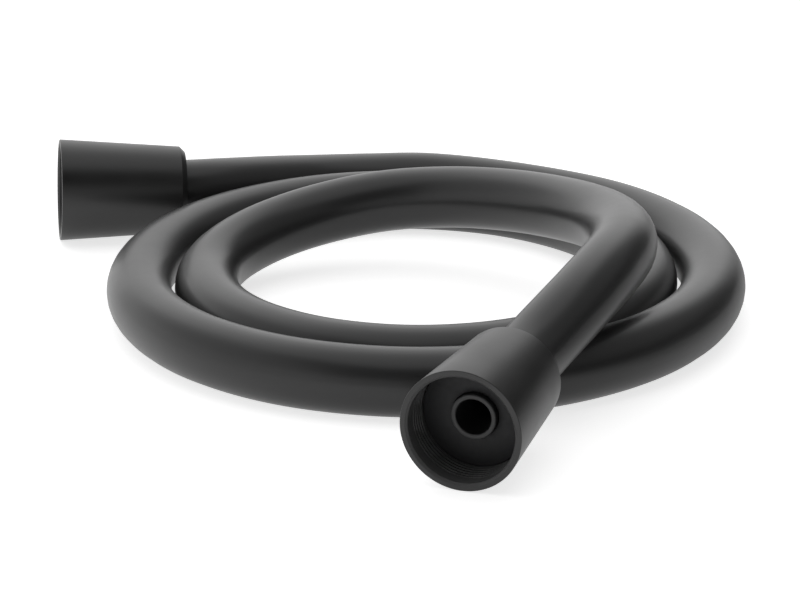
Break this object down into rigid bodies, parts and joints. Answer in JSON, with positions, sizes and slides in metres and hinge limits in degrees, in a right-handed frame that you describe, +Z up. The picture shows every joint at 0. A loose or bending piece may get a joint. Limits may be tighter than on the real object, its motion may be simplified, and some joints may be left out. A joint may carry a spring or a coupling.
{
  "type": "shower hose",
  "caption": "Smooth black flexible hose lying in a loose coil, with a conical nut that spins on each end over a nipple and a flat washer, to join a hand shower to its supply.",
  "frame": {"origin": "on the floor, under the middle of the coil's footprint", "axes": "+Z up, +Y away from the viewer along the coil's longer side, +X to the right"},
  "size_m": [0.1572, 0.2122, 0.0319],
  "materials": {
    "hose": "satin",
    "nut": "matte",
    "nipple": "satin",
    "washer": "matte",
    "sleeve": "brushed"
  },
  "bodies": {
    "hose": {"hose": "hose", "far_washer": "washer", "far_nipple": "nipple", "far_sleeve": "sleeve", "near_washer": "washer", "near_nipple": "nipple", "near_sleeve": "sleeve"},
    "far_nut": {"far_nut": "nut"},
    "near_nut": {"near_nut": "nut"}
  },
  "joints": [
    {"name": "far_nut_spin", "type": "hinge", "parent": "hose", "child": "far_nut", "pos_m": [-0.07684, 0.07351, 0.0119], "axis": [-0.9879, -0.151, 0.0345], "continuous": true},
    {"name": "near_nut_spin", "type": "hinge", "parent": "hose", "child": "near_nut", "pos_m": [0.0144, -0.10192, 0.01189], "axis": [-0.3541, -0.9327, -0.0691], "continuous": true}
  ]
}
